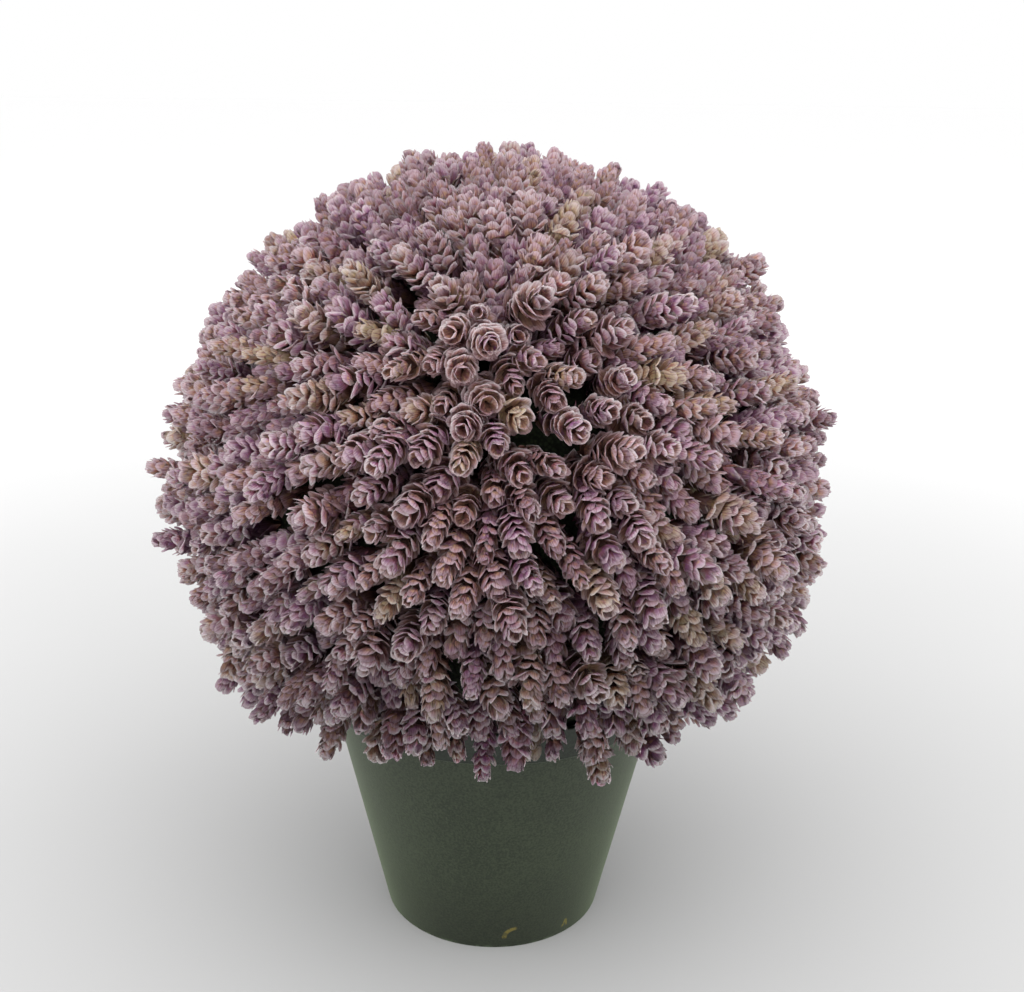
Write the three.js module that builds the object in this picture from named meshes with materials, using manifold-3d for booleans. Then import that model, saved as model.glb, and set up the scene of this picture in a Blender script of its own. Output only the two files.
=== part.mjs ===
// Potted ball topiary: a tapered green nursery pot, a foam ball carried on a stake above the pot's filling,
// and sprays of scaly hop cones that plug into the ball and cover it down to the pot's rim.
// Millimetres, +Z up. The origin is the middle of the pot's underside.
import * as THREE from "three";
import { mergeVertices } from "three/addons/utils/BufferGeometryUtils.js";
import Module from "manifold-3d";

const wasm = await Module();
wasm.setup();

// Driving dimensions
const fit = 0.4; // gap between pieces that sit in one another
const pot = {
  height: 128,
  baseRadius: 53,
  baseChamfer: 1,
  bandBottom: 112,
  bandStep: 0.8,
  wallTopRadius: 78.5,
  bandRadius: 81.2,
  rimRadius: 83,
  wall: 1.8,
  floor: 2,
  segments: 36,
  drainHoles: 4,
  drainRadius: 5,
  drainRing: 34,
};
const ball = { centre: new THREE.Vector3(0, 0, 214), radius: 116, segments: 24, rings: 11 };
const fill = { top: 100, segments: 24 };
const stake = { radius: 5, sides: 12, bottom: 30, top: 150 };
const sprays = {
  count: 40,
  footBottom: ball.radius + fit, // along the spray's own direction
  footTop: ball.radius + fit + 2.4,
  footMargin: 4.4,
  pegRadius: 3,
  pegDepth: 12,
  sharingPasses: 12,
};
const cones = {
  count: 240,
  ranks: 3, // scales round each tier
  tiers: 4,
  tipDistance: 150.5, // from the middle of the ball
  tipSpread: 3.5,
  apexShare: 0.82, // of a cone's length, where its innermost scales part
  bodyRadius: 12,
  stemRadius: 3.2,
  scaleReach: 16.5,
  topNarrowing: 0.42,
  tilt: 0.06,
  scatter: 0.022, // radians that a cone strays from an even spread
  lowestPolar: THREE.MathUtils.degToRad(124.5), // measured from the top of the ball
  clearPolar: THREE.MathUtils.degToRad(129.5), // nothing reaches below this, so the rim stays clear
  neighbourCosine: 0.85,
  tipGap: 0.28, // from the walls of the cone's own wedge of space
  bodyGap: 2.6,
  cellPasses: 4,
};
const seed = 27;

const materials = {
  pot: new THREE.MeshStandardMaterial({ color: 0x3f4d3e, roughness: 0.55, metalness: 0 }),
  fill: new THREE.MeshStandardMaterial({ color: 0x2f3a2c, roughness: 0.95, metalness: 0 }),
  stake: new THREE.MeshStandardMaterial({ color: 0xa98a5e, roughness: 0.8, metalness: 0 }),
  foam: new THREE.MeshStandardMaterial({ color: 0x1f3320, roughness: 0.95, metalness: 0 }),
  cone: new THREE.MeshStandardMaterial({ color: 0x93767c, roughness: 0.6, metalness: 0 }),
};

// A repeatable random number from 0 to 1
function makeRandom(seed) {
  let state = seed >>> 0;
  return () => {
    state = (state + 0x6d2b79f5) >>> 0;
    let mixed = Math.imul(state ^ (state >>> 15), 1 | state);
    mixed = (mixed + Math.imul(mixed ^ (mixed >>> 7), 61 | mixed)) ^ mixed;
    return ((mixed ^ (mixed >>> 14)) >>> 0) / 4294967296;
  };
}

// Closed solids from three.js geometry, and back
function solidFrom(geometry) {
  const bare = geometry.index ? geometry.toNonIndexed() : geometry.clone();
  bare.deleteAttribute("normal");
  bare.deleteAttribute("uv");
  const merged = mergeVertices(bare, 1e-4);
  return new wasm.Manifold(
    new wasm.Mesh({
      numProp: 3,
      vertProperties: new Float32Array(merged.attributes.position.array),
      triVerts: new Uint32Array(merged.index.array),
    }),
  );
}

function geometryFrom(solid) {
  const mesh = solid.getMesh();
  const geometry = new THREE.BufferGeometry();
  geometry.setAttribute("position", new THREE.BufferAttribute(new Float32Array(mesh.vertProperties), 3));
  geometry.setIndex(new THREE.BufferAttribute(new Uint32Array(mesh.triVerts), 1));
  return geometry;
}

// A profile of [radius, height] pairs, listed from the bottom up the outside, turned round Z
function turned(profile, segments) {
  const points = profile.map(([radius, height]) => new THREE.Vector2(radius, height));
  return new THREE.LatheGeometry(points, segments).rotateX(Math.PI / 2);
}

// Directions spread evenly over the ball from its top down to a polar angle
function spiralDirections(count, lowestPolar) {
  const goldenTurn = Math.PI * (3 - Math.sqrt(5));
  const depth = 1 - Math.cos(lowestPolar);
  return Array.from({ length: count }, (_, i) => {
    const z = 1 - (depth * (i + 0.5)) / count;
    const across = Math.sqrt(1 - z * z);
    return new THREE.Vector3(across * Math.cos(i * goldenTurn), across * Math.sin(i * goldenTurn), z);
  });
}

// The same directions, each strayed a little at random
function scattered(directions, random) {
  return directions.map((direction) => {
    const { first, second } = frameAlong(direction);
    const strayed = direction.clone();
    strayed.addScaledVector(first, (random() - 0.5) * 2 * cones.scatter);
    return strayed.addScaledVector(second, (random() - 0.5) * 2 * cones.scatter).normalize();
  });
}

// A frame whose third axis is the direction
function frameAlong(direction) {
  const helper = Math.abs(direction.z) < 0.9 ? new THREE.Vector3(0, 0, 1) : new THREE.Vector3(1, 0, 0);
  const first = new THREE.Vector3().crossVectors(helper, direction).normalize();
  const second = new THREE.Vector3().crossVectors(direction, first);
  return { first, second, direction };
}

// Outer radius of the pot's tapered wall at a height
function wallRadius(height) {
  const slope = (pot.wallTopRadius - pot.baseRadius) / (pot.bandBottom - pot.baseChamfer);
  return pot.baseRadius + slope * (height - pot.baseChamfer);
}

// Pot: tapered wall, proud band under the rim, flat floor with drain holes
function makePot() {
  const profile = [
    [0, 0],
    [pot.baseRadius - pot.baseChamfer, 0],
    [pot.baseRadius, pot.baseChamfer],
    [pot.wallTopRadius, pot.bandBottom],
    [pot.bandRadius, pot.bandBottom + pot.bandStep],
    [pot.rimRadius, pot.height - pot.bandStep],
    [pot.rimRadius - pot.bandStep, pot.height],
    [pot.rimRadius - pot.wall, pot.height],
    [pot.bandRadius - pot.wall, pot.bandBottom + pot.bandStep + pot.wall],
    [pot.wallTopRadius - pot.wall, pot.bandBottom],
    [wallRadius(pot.floor) - pot.wall, pot.floor],
    [0, pot.floor],
  ];
  let solid = solidFrom(turned(profile, pot.segments));
  for (let i = 0; i < pot.drainHoles; i++) {
    const angle = ((i + 0.5) / pot.drainHoles) * 2 * Math.PI;
    const hole = new THREE.CylinderGeometry(pot.drainRadius, pot.drainRadius, 4 * pot.floor, 8);
    hole.rotateX(Math.PI / 2);
    hole.translate(pot.drainRing * Math.cos(angle), pot.drainRing * Math.sin(angle), pot.floor / 2);
    solid = solid.subtract(solidFrom(hole));
  }
  return geometryFrom(solid);
}

// Filling: a block cast to the pot's inside, dished for the ball and bored for the stake
function makeFill() {
  const bottom = pot.floor + fit;
  const boreRadius = stake.radius + fit;
  const dishRadius = ball.radius + fit;
  const dishHeight = (radius) => ball.centre.z - Math.sqrt(dishRadius ** 2 - radius ** 2);
  const dishEdge = Math.sqrt(dishRadius ** 2 - (ball.centre.z - fill.top) ** 2);
  const dishMiddle = (dishEdge + boreRadius) / 2;
  const profile = [
    [0, bottom],
    [wallRadius(bottom) - pot.wall - fit, bottom],
    [wallRadius(fill.top) - pot.wall - fit, fill.top],
    [dishEdge, fill.top],
    [dishMiddle, dishHeight(dishMiddle)],
    [boreRadius, dishHeight(boreRadius)],
    [boreRadius, stake.bottom - fit],
    [0, stake.bottom - fit],
  ];
  return turned(profile, fill.segments);
}

function makeStake() {
  const length = stake.top - stake.bottom;
  const rod = new THREE.CylinderGeometry(stake.radius, stake.radius, length, stake.sides);
  return rod.rotateX(Math.PI / 2).translate(0, 0, stake.bottom + length / 2);
}

// The four corners of a spray's square peg or of its hole, on a plane across its direction
function pegCorners(radius) {
  return [0, 1, 2, 3].map((quarter) => {
    const angle = (quarter * Math.PI) / 2;
    return new THREE.Vector2(radius * Math.cos(angle), radius * Math.sin(angle));
  });
}

// The hole for one spray's peg, as the solid that is cut away
function pegHole(middle) {
  const bottom = ball.radius - sprays.pegDepth - fit;
  const shape = new THREE.Shape(pegCorners(sprays.pegRadius + fit * Math.SQRT2));
  const prism = new THREE.ExtrudeGeometry(shape, { depth: sprays.footTop - bottom, bevelEnabled: false });
  const { first, second, direction } = frameAlong(middle);
  const placing = new THREE.Matrix4().makeBasis(first, second, direction);
  return solidFrom(prism.translate(0, 0, bottom).applyMatrix4(placing));
}

// Foam ball, bored for the stake from below and for each spray's peg
function makeFoamBall(middles) {
  const boreRadius = stake.radius + fit;
  const boreAngle = Math.asin(boreRadius / ball.radius);
  const boreTop = stake.top + fit - ball.centre.z;
  const profile = [
    [0, boreTop],
    [boreRadius, boreTop],
  ];
  for (let ring = 0; ring < ball.rings; ring++) {
    const angle = boreAngle + ((Math.PI - boreAngle) * ring) / ball.rings;
    profile.push([ball.radius * Math.sin(angle), -ball.radius * Math.cos(angle)]);
  }
  profile.push([0, ball.radius]);
  const uncut = solidFrom(turned(profile, ball.segments));
  return geometryFrom(middles.reduce((solid, middle) => solid.subtract(pegHole(middle)), uncut));
}

// Keeps a point inside the wedge of space that belongs to one cone, and clear of the pot's rim
function keepInCell(point, walls, gap) {
  for (let pass = 0; pass < cones.cellPasses; pass++) {
    for (const wall of walls) {
      const short = gap - point.dot(wall);
      if (short > 0) point.addScaledVector(wall, short);
    }
    const distance = point.length();
    const lowest = cones.clearPolar - gap / distance;
    if (Math.acos(point.z / distance) > lowest) {
      const across = (distance * Math.sin(lowest)) / Math.hypot(point.x, point.y);
      point.set(point.x * across, point.y * across, distance * Math.cos(lowest));
    }
  }
  return point;
}

// One hop cone: a slim body on a diamond lattice, each diamond raised into a scale over the next tier.
// It stands on its root and stays open below its lowest ring, which comes first in its points.
function coneSkin(direction, root, walls, random) {
  const { ranks, tiers } = cones;
  const axes = frameAlong(direction);
  const lean = direction.clone();
  lean.addScaledVector(axes.first, (random() - 0.5) * 2 * cones.tilt);
  lean.addScaledVector(axes.second, (random() - 0.5) * 2 * cones.tilt);
  const along = frameAlong(lean.normalize());
  const turn = random() * 2 * Math.PI;
  const length = cones.tipDistance + (random() - 0.5) * 2 * cones.tipSpread - root.length();
  const place = (height, radius, step) => {
    const angle = turn + (step * Math.PI) / ranks;
    const point = root.clone().addScaledVector(along.direction, height);
    point.addScaledVector(along.first, radius * Math.cos(angle));
    return point.addScaledVector(along.second, radius * Math.sin(angle));
  };
  const top = tiers + 1;
  const heightAt = (ring) => (length * ring * cones.apexShare) / top;
  const bodyRadius = (ring) => cones.bodyRadius * Math.sin(Math.PI * (0.2 + (0.7 * ring) / top));
  const points = [];
  for (let ring = 0; ring < top; ring++) {
    for (let i = 0; i < ranks; i++) {
      const radius = ring === 0 ? cones.stemRadius : bodyRadius(ring);
      const point = place(heightAt(ring), radius, 2 * i + (ring % 2));
      points.push(ring === 0 ? point : keepInCell(point, walls, cones.bodyGap));
    }
  }
  const apex = points.push(place(heightAt(top), 0, 0)) - 1;
  const ringAt = (ring, i) => ring * ranks + (i % ranks);
  const triangles = [];
  for (let ring = 0; ring < top; ring++) {
    const share = ring / tiers;
    for (let i = 0; i < ranks; i++) {
      const left = ringAt(ring, i);
      const right = ringAt(ring, i + 1);
      const between = ring % 2 ? i + 1 : i;
      const above = ring + 1 === top ? apex : ringAt(ring + 1, between);
      if (ring === 0) {
        triangles.push([left, right, above]);
        continue;
      }
      const below = ringAt(ring - 1, between);
      const reach = cones.scaleReach * (1 - cones.topNarrowing * share ** 3);
      const height = heightAt(ring + 1) + length * (1 - cones.apexShare) * share;
      const free = place(height, reach, 2 * i + (ring % 2) + 1);
      const tip = points.push(keepInCell(free, walls, cones.tipGap)) - 1;
      triangles.push([below, right, tip], [below, tip, left], [left, tip, above], [tip, right, above]);
    }
  }
  return { points, triangles };
}

// Corners of the convex outline of some flat points, anticlockwise
function convexOutline(points) {
  const sorted = [...points].sort((a, b) => a.x - b.x || a.y - b.y);
  const halfOutline = (list) => {
    const kept = [];
    for (const p of list) {
      while (kept.length > 1 && turnAt(kept.at(-2), kept.at(-1), p) <= 0) kept.pop();
      kept.push(p);
    }
    return kept.slice(0, -1);
  };
  return [...halfOutline(sorted), ...halfOutline(sorted.reverse())];
}

function turnAt(a, b, c) {
  return (b.x - a.x) * (c.y - a.y) - (b.y - a.y) * (c.x - a.x);
}

// An anticlockwise outline with each side moved outward
function widened(outline, margin) {
  return outline.map((corner, i) => {
    const before = outline.at(i - 1);
    const after = outline[(i + 1) % outline.length];
    const [left, right] = [corner.clone().sub(before), after.clone().sub(corner)].map((side) =>
      new THREE.Vector2(side.y, -side.x).normalize(),
    );
    const mitre = left.clone().add(right);
    return corner.clone().addScaledVector(mitre, margin / (1 + left.dot(right)));
  });
}

// One spray as one closed skin: a flat foot that lies against the ball, a peg below it, and cones above it
function makeSpray(middle, members, coneDirections, random) {
  const { first, second, direction } = frameAlong(middle);
  const flatten = (p) => {
    const scale = sprays.footTop / p.dot(direction);
    return new THREE.Vector2(p.dot(first) * scale, p.dot(second) * scale);
  };
  const raise = (p, height) => {
    const point = direction.clone().multiplyScalar(height);
    return point.addScaledVector(first, p.x).addScaledVector(second, p.y);
  };

  const vertices = [];
  const triangles = [];
  const addRing = (outline, height) => outline.map((p) => vertices.push(raise(p, height)) - 1);
  const addFace = (outline, holes, indices, facing) => {
    const flat = [outline, ...holes].flat();
    for (const [a, b, c] of THREE.ShapeUtils.triangulateShape(outline, holes)) {
      const anticlockwise = turnAt(flat[a], flat[b], flat[c]) > 0;
      const corners = [indices[a], indices[b], indices[c]];
      triangles.push(anticlockwise === facing > 0 ? corners : corners.reverse());
    }
  };
  const addWall = (low, high) => {
    low.forEach((corner, i) => {
      const next = (i + 1) % low.length;
      triangles.push([corner, low[next], high[next]], [corner, high[next], high[i]]);
    });
  };

  const roots = members.map(flatten);
  const outline = widened(convexOutline(roots), sprays.footMargin);
  const pegRing = pegCorners(sprays.pegRadius);

  const lowOutline = addRing(outline, sprays.footBottom);
  const highOutline = addRing(outline, sprays.footTop);
  addWall(lowOutline, highOutline);

  const pegTop = addRing(pegRing, sprays.footBottom);
  const pegBottom = addRing(pegRing, ball.radius - sprays.pegDepth);
  addFace(outline, [pegRing], [...lowOutline, ...pegTop], -1);
  addWall(pegBottom, pegTop);
  addFace(pegRing, [], pegBottom, -1);

  const stemRings = [];
  const stemIndices = [];
  members.forEach((member, n) => {
    const walls = coneDirections
      .filter((other) => other !== member && other.dot(member) > cones.neighbourCosine)
      .map((other) => member.clone().sub(other).normalize());
    const cone = coneSkin(member, raise(roots[n], sprays.footTop), walls, random);
    const stemRing = cone.points.slice(0, cones.ranks).map(flatten);
    const stem = addRing(stemRing, sprays.footTop);
    vertices.push(...cone.points.slice(cones.ranks));
    triangles.push(...cone.triangles.map((corners) => corners.map((index) => index + stem[0])));
    stemRings.push(stemRing);
    stemIndices.push(...stem);
  });
  addFace(outline, stemRings, [...highOutline, ...stemIndices], 1);

  const geometry = new THREE.BufferGeometry();
  const positions = vertices.flatMap((p) => [p.x, p.y, p.z]);
  geometry.setAttribute("position", new THREE.Float32BufferAttribute(positions, 3));
  geometry.setIndex(triangles.flat());
  return geometry;
}

// Shares the cones out among the sprays, so that each spray takes the cones nearest to its middle
function shareOut(coneDirections) {
  let middles = spiralDirections(sprays.count, cones.lowestPolar);
  let groups = [];
  for (let pass = 0; pass < sprays.sharingPasses; pass++) {
    groups = middles.map(() => []);
    for (const direction of coneDirections) {
      const nearness = middles.map((middle) => middle.dot(direction));
      groups[nearness.indexOf(Math.max(...nearness))].push(direction);
    }
    middles = groups.map((group) => group.reduce((sum, d) => sum.add(d), new THREE.Vector3()).normalize());
  }
  return groups.map((members, i) => ({ middle: middles[i], members }));
}

function addPiece(parent, name, geometry, material) {
  const mesh = new THREE.Mesh(geometry, material);
  mesh.name = name;
  parent.add(mesh);
}

const random = makeRandom(seed);
const coneDirections = scattered(spiralDirections(cones.count, cones.lowestPolar), random);
const shares = shareOut(coneDirections);

const topiary = new THREE.Group();
addPiece(topiary, "pot", makePot(), materials.pot);
addPiece(topiary, "pot_fill", makeFill(), materials.fill);
addPiece(topiary, "stake", makeStake(), materials.stake);

const head = new THREE.Group();
head.position.copy(ball.centre);
topiary.add(head);
addPiece(head, "foam_ball", makeFoamBall(shares.map((share) => share.middle)), materials.foam);
shares.forEach(({ middle, members }, i) => {
  const name = `spray_${String(i + 1).padStart(2, "0")}`;
  addPiece(head, name, makeSpray(middle, members, coneDirections, random), materials.cone);
});

export default topiary;
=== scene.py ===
import math

import bmesh
import bpy
import numpy as np
from mathutils import Matrix, Vector, noise


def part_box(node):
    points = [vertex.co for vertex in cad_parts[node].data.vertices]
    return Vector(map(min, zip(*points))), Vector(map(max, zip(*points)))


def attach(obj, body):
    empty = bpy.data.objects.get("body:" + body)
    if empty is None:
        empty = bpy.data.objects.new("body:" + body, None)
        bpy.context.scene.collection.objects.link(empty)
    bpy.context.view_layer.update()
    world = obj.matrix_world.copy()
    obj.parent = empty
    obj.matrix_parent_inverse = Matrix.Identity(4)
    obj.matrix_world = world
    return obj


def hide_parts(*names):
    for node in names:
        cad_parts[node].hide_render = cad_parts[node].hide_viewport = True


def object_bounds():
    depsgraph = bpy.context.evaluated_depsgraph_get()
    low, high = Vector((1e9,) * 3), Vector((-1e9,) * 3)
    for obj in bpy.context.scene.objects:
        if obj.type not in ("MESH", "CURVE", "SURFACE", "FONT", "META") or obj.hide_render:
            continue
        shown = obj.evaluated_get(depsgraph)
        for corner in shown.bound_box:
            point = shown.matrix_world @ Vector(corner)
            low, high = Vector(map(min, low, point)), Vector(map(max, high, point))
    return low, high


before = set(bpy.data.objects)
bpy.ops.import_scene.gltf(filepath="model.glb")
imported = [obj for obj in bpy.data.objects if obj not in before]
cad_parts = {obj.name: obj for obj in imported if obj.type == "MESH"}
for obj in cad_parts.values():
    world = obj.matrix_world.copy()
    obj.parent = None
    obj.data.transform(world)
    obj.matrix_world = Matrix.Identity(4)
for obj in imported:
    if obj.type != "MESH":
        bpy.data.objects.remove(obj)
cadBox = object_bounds()
scene = bpy.context.scene
print("frame loaded:", len(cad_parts), "nodes")

# Camera: where the ball's circle and the pot's edges put it in the photograph
camera = {
    "place": (0, -0.574, 0.389),
    "down": 17.5,  # degrees below the horizon
    "roll": 0.66,  # degrees
    "lens": 45.46,
    "shift": 0.0148,
}


def makeCamera():
    lens = bpy.data.cameras.new("camera")
    lens.lens = camera["lens"]
    lens.shift_x = camera["shift"]
    holder = bpy.data.objects.new("camera", lens)
    scene.collection.objects.link(holder)
    tilt = Matrix.Rotation(math.radians(90 - camera["down"]), 4, "X")
    roll = Matrix.Rotation(math.radians(camera["roll"]), 4, "Z")
    holder.matrix_world = Matrix.Translation(camera["place"]) @ tilt @ roll
    scene.camera = holder


makeCamera()
print("camera placed")


# Shader building
def colour(red, green, blue):  # display values from 0 to 255
    def linear(value):
        value = value / 255
        return value / 12.92 if value <= 0.04045 else ((value + 0.055) / 1.055) ** 2.4

    return (linear(red), linear(green), linear(blue), 1)


class Wire:  # an output socket in a shader expression
    def __init__(self, finish, socket):
        self.finish = finish
        self.socket = socket

    def out(self, name):  # another output of the same node
        return Wire(self.finish, self.socket.node.outputs[name])

    def math(self, operation, first, second=0.0):
        return self.finish.node("ShaderNodeMath", {"operation": operation}, {0: first, 1: second})

    def __add__(self, other):
        return self.math("ADD", self, other)

    def __radd__(self, other):
        return self.math("ADD", other, self)

    def __sub__(self, other):
        return self.math("SUBTRACT", self, other)

    def __rsub__(self, other):
        return self.math("SUBTRACT", other, self)

    def __mul__(self, other):
        return self.math("MULTIPLY", self, other)

    def __rmul__(self, other):
        return self.math("MULTIPLY", other, self)

    def __pow__(self, other):
        return self.math("POWER", self, other)

    def __abs__(self):
        return self.math("ABSOLUTE", self)


class Finish:  # a material under construction
    def __init__(self, name, fixed):
        self.material = bpy.data.materials.new(name)
        self.material.use_nodes = True
        self.tree = self.material.node_tree
        self.shader = self.tree.nodes["Principled BSDF"]
        for socket, value in fixed.items():
            self.shader.inputs[socket].default_value = value

    def join(self, socket, value):
        if isinstance(value, Wire):
            self.tree.links.new(value.socket, socket)
        else:
            socket.default_value = value

    def node(self, kind, settings=None, values=None, output=0):
        made = self.tree.nodes.new(kind)
        for name, value in (settings or {}).items():
            setattr(made, name, value)
        for name, value in (values or {}).items():
            self.join(made.inputs[name], value)
        return Wire(self, made.outputs[output])

    def attribute(self, name, output="Vector"):
        return self.node("ShaderNodeAttribute", {"attribute_name": name}, output=output)

    def place(self):
        return self.node("ShaderNodeTexCoord", output="Object")

    def split(self, vector):
        first = self.node("ShaderNodeSeparateXYZ", values={0: vector})
        return first, first.out("Y"), first.out("Z")

    def noise(self, scale, detail=2.0, roughness=0.5, vector=None):
        values = {"Scale": scale, "Detail": detail, "Roughness": roughness}
        values["Vector"] = vector or self.place()
        return self.node("ShaderNodeTexNoise", values=values)

    def cells(self, scale):
        return self.node("ShaderNodeTexVoronoi", values={"Vector": self.place(), "Scale": scale})

    def stretched(self, scale):  # the place in space, scaled along each axis
        return self.node("ShaderNodeVectorMath", {"operation": "MULTIPLY"}, {0: self.place(), 1: scale})

    def step(self, value, low, high):  # rises smoothly from 0 at low to 1 at high
        settings = {"interpolation_type": "SMOOTHSTEP"}
        return self.node("ShaderNodeMapRange", settings, {"Value": value, 1: low, 2: high})

    def mix(self, factor, first, second):
        return self.node("ShaderNodeMix", {"data_type": "RGBA"}, {0: factor, 6: first, 7: second}, 2)

    def shade(self, factor, first, second):  # multiplies two colours
        settings = {"data_type": "RGBA", "blend_type": "MULTIPLY"}
        return self.node("ShaderNodeMix", settings, {0: factor, 6: first, 7: second}, 2)

    def bump(self, height, strength, distance):
        values = {"Height": height, "Strength": strength, "Distance": distance}
        self.feed("Normal", self.node("ShaderNodeBump", values=values))

    def feed(self, socket, value):
        self.join(self.shader.inputs[socket], value)


# Mesh building
def addObject(name, mesh, material):
    mesh.materials.append(material)
    made = bpy.data.objects.new(name, mesh)
    scene.collection.objects.link(made)
    return made


def addPiece(name, mesh, material, nodes):
    made = addObject(name, mesh, material)
    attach(made, "root")
    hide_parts(*nodes)


def triangleMesh(name, points, triangles, sharpAngle):
    mesh = bpy.data.meshes.new(name)
    mesh.vertices.add(len(points))
    mesh.vertices.foreach_set("co", points.astype(np.float32).ravel())
    mesh.loops.add(triangles.size)
    mesh.loops.foreach_set("vertex_index", triangles.astype(np.int32).ravel())
    mesh.polygons.add(len(triangles))
    mesh.polygons.foreach_set("loop_start", np.arange(0, triangles.size, 3, dtype=np.int32))
    mesh.update(calc_edges=True)
    mesh.shade_smooth()
    mesh.set_sharp_from_angle(angle=math.radians(sharpAngle))
    return mesh


def rounded(corners, radius, steps=4):  # a profile with every inner corner turned into an arc
    path = [Vector(corners[0])]
    for before, corner, after in zip(corners, corners[1:], corners[2:]):
        corner = Vector(corner)
        back = Vector(before) - corner
        ahead = Vector(after) - corner
        reach = min(radius, back.length * 0.45, ahead.length * 0.45)
        start = corner + back.normalized() * reach
        end = corner + ahead.normalized() * reach
        for i in range(steps + 1):
            share = i / steps
            path.append(start * (1 - share) ** 2 + corner * 2 * share * (1 - share) + end * share**2)
    path.append(Vector(corners[-1]))
    return path


def addRing(mesh, radius, height, sides, middle=(0, 0)):
    ring = []
    for i in range(sides):
        angle = 2 * math.pi * i / sides
        x = middle[0] + radius * math.cos(angle)
        y = middle[1] + radius * math.sin(angle)
        ring.append(mesh.verts.new((x, y, height)))
    return ring


def joinRings(mesh, first, second):
    for i in range(len(first)):
        j = (i + 1) % len(first)
        mesh.faces.new((first[i], first[j], second[j], second[i]))


def fillBetween(mesh, rings):
    edges = []
    for ring in rings:
        for i in range(len(ring)):
            pair = (ring[i], ring[(i + 1) % len(ring)])
            edges.append(mesh.edges.get(pair) or mesh.edges.new(pair))
    bmesh.ops.triangle_fill(mesh, edges=edges, use_beauty=True)


def meshFrom(name, build):
    bmesh.ops.recalc_face_normals(build, faces=build.faces)
    mesh = bpy.data.meshes.new(name)
    build.to_mesh(mesh)
    build.free()
    return mesh


# Pot: a tapered nursery pot with a proud band under its rim
pot = {
    "height": 0.128,
    "baseRadius": 0.053,
    "wallTopRadius": 0.0785,
    "bandBottom": 0.112,
    "bandStep": 0.0008,
    "bandRadius": 0.0812,
    "rimRadius": 0.083,
    "wall": 0.0018,
    "floor": 0.002,
    "fillet": 0.0006,
    "plateRadius": 0.046,  # the flat bottom with the drain holes
    "drainHoles": 4,
    "drainRadius": 0.005,
    "drainRing": 0.034,
    "drainSides": 32,
    "sides": 160,
    "sharpAngle": 50,  # degrees
}
potLook = {
    "dark": colour(22, 31, 15),
    "light": colour(47, 56, 38),
    "worn": colour(70, 82, 62),
    "band": colour(176, 186, 194),  # painted shade: multiplies the band under the rim, as if shaded by the ball above
    "foot": colour(198, 196, 190),  # painted shade: multiplies the foot, darker towards the floor
    "scuff": colour(110, 99, 44),
    "roughness": 0.45,
    "cloudScale": 38,
    "grainScale": 950,
    "footShadeHeight": 0.06,
    "wearHeight": 0.0022,
}
scuffs = {  # two yellow rubs low on the front: a curl, and a short fork to its right
    "curlTurn": 0.174,  # radians from the front
    "curlAside": 0.0020,  # metres
    "curlHeight": 0.0064,
    "curlRadius": 0.0055,
    "curlSoftness": (0.0006, 0.0014),
    "forkTurn": 0.70,  # radians
    "forkSlope": 0.28,
    "forkTop": 0.009,
    "forkHeight": 0.0065,
    "forkSoftness": (0.0003, 0.0009),
    "breakScale": 420,
}


def potScuffs(plastic, x, y, z):
    turn = plastic.node("ShaderNodeMath", {"operation": "ARCTAN2"}, {0: x, 1: -1 * y})
    broken = plastic.step(plastic.noise(scuffs["breakScale"], 3, 0.7), 0.4, 0.5)
    aside = (turn - scuffs["curlTurn"]) * pot["baseRadius"] - scuffs["curlAside"]
    lift = z - scuffs["curlHeight"]
    ring = abs((aside * aside + lift * lift) ** 0.5 - scuffs["curlRadius"])
    quarter = (1 - plastic.step(aside, -0.001, 0.0006)) * plastic.step(lift, -0.0012, 0.0008)
    curl = (1 - plastic.step(ring, *scuffs["curlSoftness"])) * quarter
    middle = (turn - scuffs["forkTurn"]) * pot["baseRadius"]
    prongs = abs(abs(middle) - scuffs["forkSlope"] * (scuffs["forkTop"] - z))
    ends = 1 - plastic.step(abs(z - scuffs["forkHeight"]), 0.0015, 0.0028)
    fork = (1 - plastic.step(prongs, *scuffs["forkSoftness"])) * ends
    return (curl + fork * broken) * (0.45 + 0.55 * broken)


def potPlastic():
    look = potLook
    sheen = {"Sheen Weight": 0.25, "Sheen Roughness": 0.4, "Sheen Tint": colour(190, 220, 160)}
    plastic = Finish("potPlastic", {"Specular IOR Level": 0.45, **sheen})
    cloud = plastic.noise(look["cloudScale"], 5, 0.6)
    grain = plastic.noise(look["grainScale"], 2)
    mottle = plastic.step(cloud * 0.25 + grain * 0.75, 0.34, 0.66)
    base = plastic.mix(mottle, look["dark"], look["light"])
    x, y, z = plastic.split(plastic.place())
    rubbed = potScuffs(plastic, x, y, z)
    edge = 1 - plastic.step(z, 0.0, look["wearHeight"])  # the foot rubs pale
    wear = edge * plastic.step(plastic.noise(220, 3), 0.42, 0.6)
    # painted shade: the band under the rim is darkened, as if in the shade of the hop ball above it
    bandShadeMask = plastic.step(z, pot["bandBottom"] - 0.0001, pot["bandBottom"] + 0.0003)
    base = plastic.shade(bandShadeMask, base, look["band"])
    # painted shade: the lowest part of the pot is darkened, as light falls from above
    base = plastic.shade(1 - plastic.step(z, 0.0, look["footShadeHeight"]), base, look["foot"])
    plastic.feed("Base Color", plastic.mix(rubbed, plastic.mix(wear, base, look["worn"]), look["scuff"]))
    plastic.feed("Roughness", look["roughness"] + 0.12 * (cloud - 0.5) + 0.25 * rubbed)
    plastic.bump(grain * 0.6 + cloud * 0.4, 0.22, 0.0004)
    return plastic.material


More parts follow.
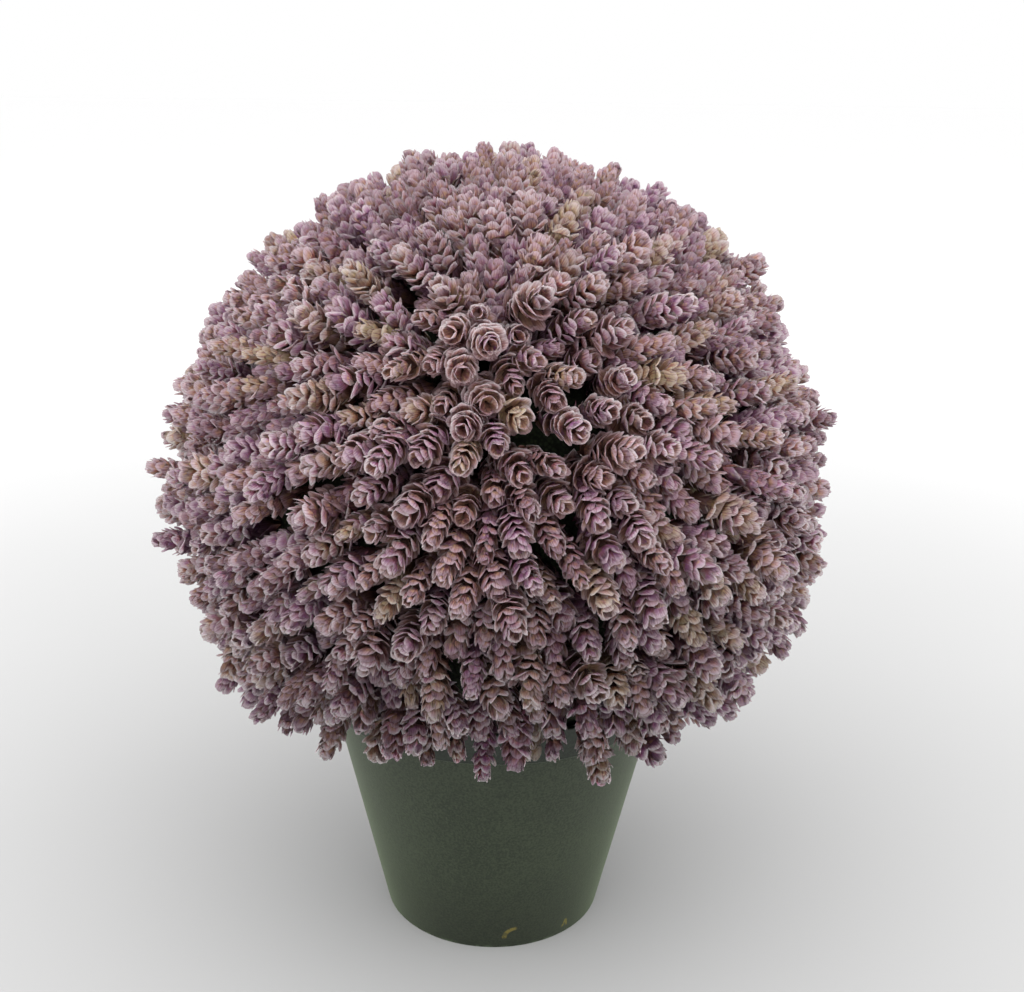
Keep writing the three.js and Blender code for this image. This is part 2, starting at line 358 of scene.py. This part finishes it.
def makePot():
    build = bmesh.new()
    slope = (pot["wallTopRadius"] - pot["baseRadius"]) / pot["bandBottom"]
    inner = pot["baseRadius"] + slope * pot["floor"] - pot["wall"]
    bandTop = pot["bandBottom"] + pot["bandStep"]
    profile = [
        (pot["plateRadius"], 0),
        (pot["baseRadius"], 0),
        (pot["wallTopRadius"], pot["bandBottom"]),
        (pot["bandRadius"], bandTop),
        (pot["rimRadius"], pot["height"]),
        (pot["rimRadius"] - pot["wall"], pot["height"]),
        (pot["bandRadius"] - pot["wall"], bandTop + pot["wall"]),
        (pot["wallTopRadius"] - pot["wall"], pot["bandBottom"]),
        (inner, pot["floor"]),
        (pot["plateRadius"], pot["floor"]),
    ]
    rings = [addRing(build, p.x, p.y, pot["sides"]) for p in rounded(profile, pot["fillet"])]
    for first, second in zip(rings, rings[1:]):
        joinRings(build, first, second)
    outside, inside = [rings[0]], [rings[-1]]
    for i in range(pot["drainHoles"]):
        angle = 2 * math.pi * (i + 0.5) / pot["drainHoles"]
        middle = (pot["drainRing"] * math.cos(angle), pot["drainRing"] * math.sin(angle))
        outside.append(addRing(build, pot["drainRadius"], 0, pot["drainSides"], middle))
        inside.append(addRing(build, pot["drainRadius"], pot["floor"], pot["drainSides"], middle))
        joinRings(build, outside[-1], inside[-1])
    fillBetween(build, outside)
    fillBetween(build, inside)
    mesh = meshFrom("nurseryPot", build)
    mesh.shade_smooth()
    mesh.set_sharp_from_angle(angle=math.radians(pot["sharpAngle"]))
    addPiece("nurseryPot", mesh, potPlastic(), ["pot"])


makePot()
print("pot made")

# Foam ball: the dark green core that shows between the cones
ball = {
    "centre": (0, 0, 0.214),
    "radius": 0.116,
    "sides": 96,
    "rings": 48,
    "dentSize": 0.02,
    "dentDepth": 0.0007,
}
ballLook = {
    "dark": colour(30, 37, 24),
    "light": colour(48, 56, 36),
    "pit": colour(21, 25, 17),
    "pitScale": 700,
    "cloudScale": 45,
}


def ballFoam():
    look = ballLook
    foam = Finish("ballFoam", {"Roughness": 0.95, "Specular IOR Level": 0.2})
    cells = foam.cells(look["pitScale"])
    cloud = foam.noise(look["cloudScale"], 4)
    base = foam.mix(foam.step(cloud, 0.35, 0.65), look["dark"], look["light"])
    foam.feed("Base Color", foam.mix(foam.step(cells, 0.2, 0.7), base, look["pit"]))
    foam.bump(cells, 0.5, 0.0006)
    return foam.material


def makeBall():
    build = bmesh.new()
    centre = Vector(ball["centre"])
    rings = []
    for i in range(1, ball["rings"]):
        polar = math.pi * i / ball["rings"]
        radius = ball["radius"] * math.sin(polar)
        height = centre.z + ball["radius"] * math.cos(polar)
        rings.append(addRing(build, radius, height, ball["sides"]))
    for first, second in zip(rings, rings[1:]):
        joinRings(build, first, second)
    for ring, height in ((rings[0], ball["radius"]), (rings[-1], -ball["radius"])):
        pole = build.verts.new((0, 0, centre.z + height))
        for i in range(len(ring)):
            build.faces.new((ring[i], ring[(i + 1) % len(ring)], pole))
    for vertex in build.verts:
        outward = (vertex.co - centre).normalized()
        dent = noise.noise(vertex.co / ball["dentSize"]) - 1
        vertex.co += outward * dent * ball["dentDepth"]
    mesh = meshFrom("foamCore", build)
    mesh.shade_smooth()
    addPiece("foamCore", mesh, ballFoam(), ["foam_ball"])


makeBall()
print("foam ball made")

# Plaster filling and wooden stake: the frame's own meshes stay, with finishes made here
fillLook = {
    "grey": colour(176, 172, 162),
    "pale": colour(206, 202, 192),
    "pore": colour(128, 124, 114),
    "poreScale": 420,
    "cloudScale": 60,
}
stakeLook = {
    "light": colour(196, 164, 118),
    "dark": colour(168, 132, 88),
    "fibre": colour(128, 94, 58),
    "fibreScale": (520, 520, 18),
    "bandScale": (150, 150, 5),
}


def fillPlaster():
    look = fillLook
    plaster = Finish("fillPlaster", {"Roughness": 0.9})
    cloud = plaster.noise(look["cloudScale"], 6, 0.6)
    pores = plaster.cells(look["poreScale"])
    base = plaster.mix(plaster.step(cloud, 0.3, 0.7), look["grey"], look["pale"])
    plaster.feed("Base Color", plaster.mix(1 - plaster.step(pores, 0.05, 0.2), base, look["pore"]))
    plaster.bump(cloud * 0.5 + plaster.step(pores, 0.0, 0.3), 0.5, 0.0006)
    return plaster.material


def stakeWood():
    look = stakeLook
    wood = Finish("stakeWood", {"Roughness": 0.7})
    fibre = wood.noise(1, 4, 0.6, wood.stretched(look["fibreScale"]))
    band = wood.noise(1, 2, 0.5, wood.stretched(look["bandScale"]))
    base = wood.mix(wood.step(band, 0.35, 0.65), look["light"], look["dark"])
    wood.feed("Base Color", wood.mix(wood.step(fibre, 0.45, 0.75), base, look["fibre"]))
    wood.bump(fibre, 0.4, 0.0003)
    return wood.material


for nodeName, finish in (("pot_fill", fillPlaster()), ("stake", stakeWood())):
    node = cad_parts[nodeName]
    node.data.materials.clear()
    node.data.materials.append(finish)
print("filling and stake finished")

# Hop cones: pairs of cupped bracts up an axis, each pair turned a quarter from the one below
cones = {
    "count": 1050,
    "seed": 11,
    "lowest": 126.5,  # degrees from straight up
    "tipDistance": 0.1476,  # from the ball's centre
    "tipScatter": 0.0034,
    "sunkShare": 0.27,  # cones that sit lower, in the gaps
    "sunkBy": 0.009,
    "sunkRange": (0.5, 1.2),  # times sunkBy
    "boxMargin": 0.0018,
    "spacing": 0.0138,  # tips pushed apart to this
    "spreadPasses": 14,
    "jitter": 0.0029,
    "drift": 0.0036,  # the lean that neighbours share, as a sum of waves
    "driftWaves": 9,
    "driftTurns": 9,  # high values make short waves
    "fanFrom": (-0.03, -0.72, 0.695),  # the cones of the front fan out from here
    "fanLean": 0.0180,
    "fanRise": (0, 9),  # degrees
    "fanFade": (38, 86),
    "droop": 0.008,  # the lowest cones hang
    "droopRise": (0.25, 0.6),  # downward share of a cone's direction
    "rootJitter": 0.0035,
    "rootDistance": 0.1225,
    "length": 0.0292,
    "lengthScatter": 0.002,
    "width": (0.72, 1.3),
    "widthScatter": 0.16,
    "creamShape": (0.85, 2.2),  # of a beta spread; few cones are cream
    "creamScatter": 0.07,  # among a cone's bracts
    "shadeScatter": 0.12,
    "outline": ((0, 0.76), (0.35, 1), (0.6, 0.97), (0.8, 0.79), (0.9, 0.57), (1, 0.31)),  # along and out
    "radius": 0.0069,
    "axisRadius": 0.0010,
    "stemRadius": 0.0011,
    "stemRings": ((0, 1.3), (0.4, 2.6), (0.75, 1.9)),  # along a cone, and width
    "stemEnd": 0.88,
    "stemDepth": 0.003,  # sunk in the ball
    "perPiece": 4,  # sprays in one piece
}
bract = {
    "pairs": 17,
    "plainPairs": 5,  # pairs at the foot of a cone, deep in the ball, with a plainer form
    "length": (0.0090, 0.0076),  # foot and tip of the cone
    "halfWidth": (0.0056, 0.0048),
    "topHalfWidth": 0.0043,
    "cupRadius": (0.0056, 0.0040),
    "topCupRadius": 0.0026,
    "topLength": 0.0056,
    "crowding": 0.9,  # pairs sit closer towards the tip
    "topRoom": 0.7,  # of a bract's length, left above the last pair's foot
    "curl": (48, 76),  # degrees turned inwards from foot to tip of a bract, from open cones to shut ones
    "topCurl": 28,  # more at the end of the cone
    "openScatter": 4.5,  # degrees
    "openLimits": (-9, 22),
    "openTails": 3,  # degrees of freedom; low values open a few bracts wide
    "twist": 0.25,  # one lobe turned in more than the other
    "turnScatter": 9,
    "coneTurn": 97,  # makes a cone's turn from its width
    "sizeScatter": 0.11,
    "edgeScatter": 0.00013,
    "edgeFrom": 0.7,  # along a bract
    "thickness": 0.00042,
}
lobedForm = {  # across and along a bract; two rounded lobes at its tip
    "edge": (
        (-0.45, 0), (-1, 0.54), (-0.96, 0.79), (-0.77, 0.96), (-0.49, 1.01), (-0.22, 0.93), (-0.03, 0.71),
        (0.16, 0.92), (0.43, 1.03), (0.73, 0.98), (0.94, 0.82), (1, 0.56), (0.45, 0),
    ),
    "outer": ((0, 0.26), (-0.5, 0.58), (0.5, 0.58)),
    "inner": ((-0.45, 0.5), (0.45, 0.5)),
    "rim": (0, 0.5, 0.9, 1, 1, 1, 0.9, 1, 1, 1, 0.9, 0.5, 0, 0, 0.1, 0.1, 0, 0),
    "outerFaces": (
        (0, 13, 1), (0, 12, 13), (12, 11, 13), (1, 13, 14), (1, 14, 2), (2, 14, 3), (3, 14, 4), (4, 14, 5),
        (5, 14, 6), (6, 14, 13), (6, 13, 15), (6, 15, 7), (7, 15, 8), (8, 15, 9), (9, 15, 10), (10, 15, 11),
        (11, 15, 13),
    ),
    "innerFaces": (
        (0, 17, 12), (0, 16, 17), (0, 1, 16), (1, 2, 16), (2, 3, 16), (3, 4, 16), (4, 5, 16), (5, 6, 16),
        (16, 6, 17), (6, 7, 17), (7, 8, 17), (8, 9, 17), (9, 10, 17), (10, 11, 17), (11, 12, 17),
    ),
}
plainForm = {
    "edge": ((-0.35, 0), (-1, 0.55), (-0.55, 1), (0.55, 1), (1, 0.55), (0.35, 0)),
    "outer": ((0, 0.55),),
    "inner": ((0, 0.55),),
    "rim": (0, 0.6, 1, 1, 0.6, 0, 0, 0),
    "outerFaces": ((0, 6, 1), (1, 6, 2), (2, 6, 3), (3, 6, 4), (4, 6, 5), (0, 5, 6)),
    "innerFaces": ((0, 1, 7), (1, 2, 7), (2, 3, 7), (3, 4, 7), (4, 5, 7), (0, 7, 5)),
}
coneLook = {
    "mauveDeep": colour(124, 74, 86),
    "plum": colour(122, 68, 116),
    "mauve": colour(162, 110, 155),
    "mauvePink": colour(188, 124, 136),
    "mauveRim": colour(202, 160, 180),
    "tan": colour(192, 144, 100),
    "creamDeep": colour(146, 104, 72),
    "cream": colour(192, 156, 116),
    "creamRim": colour(208, 184, 150),
    "insideDeep": colour(110, 77, 66),
    "inside": colour(164, 122, 100),
    "insideRim": colour(198, 158, 164),
    "under": colour(108, 98, 99),  # painted shade: multiplies the underside of the ball, most at the front
    "dusky": colour(184, 168, 178),  # multiplies some of the cones
    "low": colour(146, 136, 132),  # painted shade: multiplies the part of each cone that sits deep in the ball
    "roughness": 0.6,
    "cloudScale": 130,
    "blotchScale": 420,
    "fleckScale": 1300,
    "ribs": (5.5, 0.7, 40),  # across a bract, along it, and from bract to bract
    "underHeight": (0.1, 0.28),
    "underFront": (0.05, 0.13),
    "sharpAngle": 75,  # degrees
}


def bractPlastic():
    look = coneLook
    fixed = {"Specular IOR Level": 0.25, "Subsurface Weight": 0.75, "Subsurface Scale": 0.0045}
    fixed["Subsurface Radius"] = (1, 0.8, 0.85)
    skin = Finish("bractPlastic", fixed)
    across, along, rim = skin.split(skin.attribute("bract"))
    cream, shade, height = skin.split(skin.attribute("cone"))
    inside = skin.attribute("inside", "Fac")
    cloud = skin.noise(look["cloudScale"], 3)
    blotch = skin.noise(look["blotchScale"], 3, 0.6)
    fleck = skin.noise(look["fleckScale"], 2, 0.6)
    perAcross, perAlong, perShade = look["ribs"]
    ribPlace = {0: across * perAcross, 1: along * perAlong, 2: shade * perShade}
    ribs = skin.node("ShaderNodeCombineXYZ", values=ribPlace)
    streak = skin.noise(1.6, 3, 0.6, ribs)
    grain = 2.2 * (streak - 0.5) + 0.8 * (fleck - 0.5)
    # darker toward each bract's foot: partly the bract's own deeper tone, partly painted shade where the
    # bract below covers it
    pale = skin.step(along + grain + 0.9 * (blotch - 0.5), 0.05, 1.05)
    pinker = skin.step(shade + 1.4 * (cloud - 0.5) + 0.8 * (blotch - 0.5), 0.2, 0.9)
    creamy = skin.step(cream + 0.8 * (cloud - 0.5) + 0.4 * (0.5 - along), 0.2, 0.8)
    pinkest = skin.mix(pinker, look["mauve"], look["mauvePink"])
    tint = skin.mix(skin.step(shade, 0.0, 0.35), look["plum"], pinkest)
    warm = skin.step(blotch + 0.6 * (streak - 0.5) + 0.45 * (shade - 0.5), 0.38, 0.64)
    tint = skin.mix(0.85 * warm * (1 - 0.8 * skin.step(rim, 0.25, 0.9)), tint, look["tan"])
    mauve = skin.mix(pale, look["mauveDeep"], tint)
    outer = skin.mix(creamy, mauve, skin.mix(pale, look["creamDeep"], look["cream"]))
    rimColour = skin.mix(creamy, look["mauveRim"], look["creamRim"])
    # pale bract rims: partly the bracts' own paler edges, partly painted highlight where edges catch the
    # light; paler towards the cone's tip as painted light
    rimAndHighlight = skin.step(rim + 0.4 * grain + 0.25 * (height - 0.6), 0.4, 1.1)
    outer = skin.mix(rimAndHighlight * 0.9, outer, rimColour)
    # inside a bract, darker toward its foot: partly its own tone, partly painted shade deep in the cup
    hollow = skin.mix(skin.step(along + grain, 0.2, 1.0), look["insideDeep"], look["inside"])
    hollow = skin.mix(creamy * 0.6, hollow, look["cream"])
    # pale rim inside the cup: partly the bract's own paler edge, partly painted highlight
    hollow = skin.mix(skin.step(rim + 0.4 * grain, 0.25, 1.0) * 0.9, hollow, look["insideRim"])
    veins = 0.6 * (1 - skin.step(streak, 0.36, 0.54))
    # painted shade: the lower part of each cone, deep among the others, is darkened
    low = 1 - skin.step(height, 0.15, 0.6)
    x, y, z = skin.split(skin.place())
    veined = skin.mix(veins, skin.mix(inside, outer, hollow), look["mauveDeep"])
    base = skin.shade(low, veined, look["low"])
    dusky = skin.step(shade, 0.4, 0.55) - skin.step(shade, 0.65, 0.8)
    base = skin.shade(0.8 * dusky, base, look["dusky"])
    # painted shade: cones low on the ball are darkened, most of all at the front
    front = skin.step(-1 * y, *look["underFront"])
    under = (1 - skin.step(z, *look["underHeight"])) * (0.4 + 0.6 * front)
    skin.feed("Base Color", skin.shade(under, base, look["under"]))
    skin.feed("Roughness", look["roughness"] + 0.2 * (blotch - 0.5))
    skin.bump(streak * 0.8 + fleck * 0.2, 0.8, 0.0005)
    return skin.material


def spiralDirections():
    rise = 1 - math.cos(math.radians(cones["lowest"]))
    index = np.arange(cones["count"])
    height = 1 - (index + 0.5) / cones["count"] * rise
    turn = index * math.pi * (3 - math.sqrt(5))
    across = np.sqrt(1 - height**2)
    return np.stack([across * np.cos(turn), across * np.sin(turn), height], axis=1)


def unit(vectors):
    return vectors / np.linalg.norm(vectors, axis=-1, keepdims=True)


def spreadOut(directions):  # pushes tips that are too close to each other apart
    least = cones["spacing"] / cones["tipDistance"]
    for _ in range(cones["spreadPasses"]):
        gap = directions[:, None] - directions[None]
        distance = np.linalg.norm(gap, axis=2) + np.eye(len(directions)) * 9
        push = np.clip(least - distance, 0, None) / distance
        directions = unit(directions + 0.5 * (gap * push[..., None]).sum(axis=1))
    return directions


def sharedLean(directions, random):  # smooth over the ball, so that neighbours lean together
    lean = np.zeros_like(directions)
    for _ in range(cones["driftWaves"]):
        wave = random.normal(0, cones["driftTurns"], 3)
        phase = random.uniform(0, 2 * math.pi)
        lean += np.sin(directions @ wave + phase)[:, None] * random.normal(0, 1, 3)
    return lean * cones["drift"] * math.sqrt(2 / cones["driftWaves"])


def smooth(value, low, high):
    share = np.clip((value - low) / (high - low), 0, 1)
    return share * share * (3 - 2 * share)


def fanLean(directions):
    pole = unit(np.array(cones["fanFrom"]))
    along = directions @ pole
    apart = np.degrees(np.arccos(np.clip(along, -1, 1)))
    share = smooth(apart, *cones["fanRise"]) * (1 - smooth(apart, *cones["fanFade"]))
    return unit(directions * along[:, None] - pole) * (cones["fanLean"] * share)[:, None]


def coneAxes(random):
    count = cones["count"]
    wander = random.normal(0, cones["jitter"] / cones["tipDistance"], (count, 3))
    tipward = spreadOut(unit(spiralDirections() + wander))
    lean = sharedLean(tipward, random) + random.normal(0, cones["rootJitter"], (count, 3))
    lean = lean - fanLean(tipward)
    lean[:, 2] += cones["droop"] * smooth(-tipward[:, 2], *cones["droopRise"])
    rootward = unit(tipward + lean / cones["rootDistance"])
    distance = cones["tipDistance"] + random.normal(0, cones["tipScatter"], count)
    sunk = random.random(count) < cones["sunkShare"]
    distance = distance - sunk * cones["sunkBy"] * random.uniform(*cones["sunkRange"], count)
    centre = np.array(ball["centre"])
    low = np.array(cadBox[0]) + cones["boxMargin"]
    high = np.array(cadBox[1]) - cones["boxMargin"]
    room = np.where(tipward > 0, high - centre, centre - low) / np.maximum(np.abs(tipward), 1e-6)
    distance = np.minimum(distance, room.min(axis=1))
    tips = centre + tipward * distance[:, None]
    axes = unit(tips - (centre + rootward * cones["rootDistance"]))
    lengths = cones["length"] + random.normal(0, cones["lengthScatter"], count)
    return tips - axes * lengths[:, None], axes, lengths, rootward


def acrossAxes(axes):  # two directions square to each cone's axis
    side = unit(np.cross(axes, np.where(np.abs(axes[:, 2:]) < 0.9, (0, 0, 1), (1, 0, 0))))
    return side, np.cross(axes, side)


def bractPoints(random, feet, axes, lengths, widths, form, lowest, highest):
    count, pairs = cones["count"], bract["pairs"]
    share = np.repeat(np.arange(lowest, highest) / (pairs - 1), 2)
    top = share == 1
    shape = (count, len(share))
    size = widths[:, None] * (1 + random.normal(0, bract["sizeScatter"], shape))
    curl = np.radians(random.uniform(*bract["curl"], count)[:, None] + bract["topCurl"] * top)
    radius = np.interp(share, *zip(*cones["outline"])) * cones["radius"] * size
    reach = np.where(top, bract["topLength"], np.interp(share, (0, 1), bract["length"]))
    reach = reach * (0.55 + 0.45 * size)  # a wide bract is longer too, but by less
    start = np.arcsin(np.clip((radius - cones["axisRadius"]) / reach, 0.05, 0.95)) + curl / 2
    opened = random.standard_t(bract["openTails"], shape) * bract["openScatter"]
    start = start + np.radians(np.clip(opened, *bract["openLimits"]) * ~top)
    wide = np.where(top, bract["topHalfWidth"], np.interp(share, (0, 1), bract["halfWidth"])) * size
    cup = np.where(top, bract["topCupRadius"], np.interp(share, (0, 1), bract["cupRadius"])) * size
    foot = share ** bract["crowding"] * (lengths[:, None] - bract["topRoom"] * reach)
    turn = widths[:, None] * bract["coneTurn"] + np.tile((0, math.pi), highest - lowest)
    turn = turn + np.repeat(np.arange(lowest, highest), 2) * math.pi / 2
    turn = turn + np.radians(random.normal(0, bract["turnScatter"], shape))

    outline = formPoints(form)
    x, t = outline[:, 0], outline[:, 1]
    inset = np.where(np.arange(len(x)) >= len(x) - len(form["inner"]), bract["thickness"], 0)
    start, curl, reach = start[..., None], curl[..., None], reach[..., None]
    bend = start - curl * t
    wrap = wide[..., None] * x / cup[..., None]
    bend = bend - curl * t * x * random.normal(0, bract["twist"], shape)[..., None]
    ragged = random.normal(0, bract["edgeScatter"], (2, *shape, len(x))) * (t > bract["edgeFrom"])
    turned = start - bend + 1e-6 * (t == 0)  # never zero
    arc = np.where(t == 0, 0, reach * t / turned)
    out = cones["axisRadius"] + arc * (np.cos(bend) - np.cos(start)) + ragged[0]
    out = out - cup[..., None] * (1 - np.cos(wrap)) - inset * np.cos(bend)
    up = foot[..., None] + arc * (np.sin(start) - np.sin(bend)) + inset * np.sin(bend) + ragged[1]
    sideways = cup[..., None] * np.sin(wrap)

    side, other = acrossAxes(axes)
    radial = np.cos(turn)[..., None] * side[:, None] + np.sin(turn)[..., None] * other[:, None]
    tangent = np.cos(turn)[..., None] * other[:, None] - np.sin(turn)[..., None] * side[:, None]
    points = feet[:, None, None] + up[..., None] * axes[:, None, None]
    points = points + out[..., None] * radial[:, :, None] + sideways[..., None] * tangent[:, :, None]
    return points, up / lengths[:, None, None]


def formPoints(form):
    return np.array(form["edge"] + form["outer"] + form["inner"])


def stemPoints(feet, axes, lengths, rootward):  # a four-sided stem, and the core that the bracts hide
    side, other = acrossAxes(axes)
    root = np.array(ball["centre"]) + rootward * (ball["radius"] - cones["stemDepth"])
    up = axes * lengths[:, None]
    rings = [(root, 1)] + [(feet + up * share, width) for share, width in cones["stemRings"]]
    points = []
    for middle, width in rings:
        for i in range(4):
            angle = i * math.pi / 2
            across = math.cos(angle) * side + math.sin(angle) * other
            points.append(middle + cones["stemRadius"] * width * across)
    points.append(feet + up * cones["stemEnd"])
    return np.stack(points, axis=1)


def stemFaces():
    faces = []
    for ring in range(3):
        for i in range(4):
            a, b = ring * 4 + i, ring * 4 + (i + 1) % 4
            faces += [(a, b, b + 4), (a, b + 4, a + 4)]
    faces += [(12 + i, 12 + (i + 1) % 4, 16) for i in range(4)]
    return np.array(faces)


def sprayDirections(names):
    centre = Vector(ball["centre"])
    middles = [sum(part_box(name), Vector()) / 2 - centre for name in names]
    return np.array([middle.normalized() for middle in middles])


def setAttribute(mesh, name, kind, domain, key, values):
    made = mesh.attributes.new(name, kind, domain)
    made.data.foreach_set(key, values.astype(np.float32).ravel())


def cellCorners(first, count, columns):  # each bract and stem has a square of the bake's map
    cell = first + np.arange(count)
    return np.stack([cell % columns, cell // columns], axis=1)[:, None, None] / columns


def bractMap(form, first, count, columns):  # a bract's two faces side by side
    outline = formPoints(form)
    parts = []
    for faces, middle in ((form["outerFaces"], 0.25), (form["innerFaces"], 0.75)):
        flat = outline[np.array(faces)]
        parts.append(np.stack([middle + 0.22 * flat[..., 0], 0.04 + 0.9 * flat[..., 1]], axis=-1))
    return (cellCorners(first, count, columns) + np.concatenate(parts)[None] / columns).reshape(-1, 2)


def stemMap(first, count, columns):  # a row of slim triangles
    faces = len(stemFaces())
    inCell = []
    for i in range(faces):
        left = i / faces
        inCell.append(((left, 0.05), (left + 0.9 / faces, 0.05), (left, 0.95)))
    return (cellCorners(first, count, columns) + np.array(inCell)[None] / columns).reshape(-1, 2)


def bractLayers(random, feet, axes, lengths):  # by form: points, heights up the cone, cream and shade
    count = cones["count"]
    widths = np.clip(random.normal(1, cones["widthScatter"], count), *cones["width"])
    cream = random.beta(*cones["creamShape"], count)[:, None]
    shade = random.random(count)[:, None]
    layers = []
    for form, lowest, highest in (
        (plainForm, 0, bract["plainPairs"]),
        (lobedForm, bract["plainPairs"], bract["pairs"]),
    ):
        points, heights = bractPoints(random, feet, axes, lengths, widths, form, lowest, highest)
        own = points.shape[:2]
        creams = cream + random.normal(0, cones["creamScatter"], own)
        shades = shade + random.normal(0, cones["shadeScatter"], own)
        layers.append((form, points, heights, creams, shades))
    return layers


def conesMesh(name, layers, stems, chosen):
    own = int(chosen.sum())
    columns = math.ceil(math.sqrt(own * (2 * bract["pairs"] + 1)))
    vertices, faces, places, kinds, insides, maps = [], [], [], [], [], []
    start, cell = 0, 0
    for form, points, heights, creams, shades in layers:
        points = points[chosen]
        bracts, perBract = points.shape[0] * points.shape[1], points.shape[2]
        vertices.append(points.reshape(-1, 3))
        formFaces = np.array(form["outerFaces"] + form["innerFaces"])
        offsets = start + np.arange(bracts) * perBract
        faces.append((offsets[:, None, None] + formFaces[None]).reshape(-1, 3))
        place = np.empty((bracts, perBract, 3))
        place[..., :2] = formPoints(form)
        place[..., 2] = form["rim"]
        places.append(place.reshape(-1, 3))
        kind = np.empty((*points.shape[:3], 3))
        kind[..., 0] = creams[chosen][..., None]
        kind[..., 1] = shades[chosen][..., None]
        kind[..., 2] = heights[chosen]
        kinds.append(kind.reshape(-1, 3))
        insides.append(np.tile(np.arange(len(formFaces)) >= len(form["outerFaces"]), bracts))
        maps.append(bractMap(form, cell, bracts, columns))
        start += bracts * perBract
        cell += bracts
    stalks = stems[chosen]
    vertices.append(stalks.reshape(-1, 3))
    offsets = start + np.arange(own) * stalks.shape[1]
    faces.append((offsets[:, None, None] + stemFaces()[None]).reshape(-1, 3))
    places.append(np.zeros((own * stalks.shape[1], 3)))
    kinds.append(np.zeros((own * stalks.shape[1], 3)))
    insides.append(np.ones(own * len(stemFaces()), bool))
    maps.append(stemMap(cell, own, columns))

    inBox = np.clip(np.concatenate(vertices), *np.array(cadBox))
    mesh = triangleMesh(name, inBox, np.concatenate(faces), coneLook["sharpAngle"])
    setAttribute(mesh, "bract", "FLOAT_VECTOR", "POINT", "vector", np.concatenate(places))
    setAttribute(mesh, "cone", "FLOAT_VECTOR", "POINT", "vector", np.concatenate(kinds))
    setAttribute(mesh, "inside", "FLOAT", "FACE", "value", np.concatenate(insides))
    bakeMap = mesh.uv_layers.new(name="OFBake")
    bakeMap.uv.foreach_set("vector", np.concatenate(maps).astype(np.float32).ravel())
    print(name, own, "cones,", len(mesh.polygons), "triangles")
    return mesh


def makeCones():
    random = np.random.default_rng(cones["seed"])
    feet, axes, lengths, rootward = coneAxes(random)
    layers = bractLayers(random, feet, axes, lengths)
    stems = stemPoints(feet, axes, lengths, rootward)
    print("cones placed:", cones["count"])
    names = sorted(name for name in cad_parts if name.startswith("spray_"))
    nearest = (unit(feet - np.array(ball["centre"])) @ sprayDirections(names).T).argmax(axis=1)
    finish = bractPlastic()
    for first in range(0, len(names), cones["perPiece"]):
        last = first + cones["perPiece"]
        name = "hopCones{:02d}".format(last // cones["perPiece"])
        mesh = conesMesh(name, layers, stems, (nearest >= first) & (nearest < last))
        addPiece(name, mesh, finish, names[first:last])


makeCones()

# Surroundings: pale paper floor, soft bright sky, one large lamp above the front and two low at the sides
studio = {
    "floorRadius": 40.0,
    "floorSides": 96,
    "floorFade": 1.8,  # from the pot to the brightest floor
    "floorNear": colour(186, 186, 186),
    "floorFar": colour(255, 255, 255),
    "surround": 1.0,  # strength of the sky
    "lamps": (
        # place, size, power
        ((0.0, -0.8, 1.7), 1.9, 21.0),
        ((-1.3, -0.4, 0.7), 1.4, 5.0),
        ((1.3, -0.4, 0.7), 1.4, 4.0),
    ),
    "target": (0, 0, 0.2),
}


def makeStudio():
    build = bmesh.new()
    ring = addRing(build, studio["floorRadius"], 0, studio["floorSides"])
    build.faces.new(ring)
    paper = Finish("floorPaper", {"Roughness": 0.9})
    distance = paper.node("ShaderNodeVectorMath", {"operation": "LENGTH"}, {0: paper.place()}, "Value")
    reach = paper.step(distance + 0.1 * paper.noise(3, 2), 0.0, studio["floorFade"])
    paper.feed("Base Color", paper.mix(reach, studio["floorNear"], studio["floorFar"]))
    addObject("floor", meshFrom("floor", build), paper.material)

    world = bpy.data.worlds.new("surround")
    world.use_nodes = True
    world.node_tree.nodes["Background"].inputs["Color"].default_value = (1, 1, 1, 1)
    world.node_tree.nodes["Background"].inputs["Strength"].default_value = studio["surround"]
    scene.world = world
    for number, (place, size, power) in enumerate(studio["lamps"], 1):
        lamp = bpy.data.lights.new("lamp{}".format(number), "AREA")
        lamp.energy = power
        lamp.size = size
        holder = bpy.data.objects.new(lamp.name, lamp)
        scene.collection.objects.link(holder)
        holder.location = place
        toward = Vector(studio["target"]) - Vector(place)
        holder.rotation_euler = toward.to_track_quat("-Z", "Y").to_euler()
    scene.view_settings.view_transform = "Standard"


makeStudio()
print("studio lit")
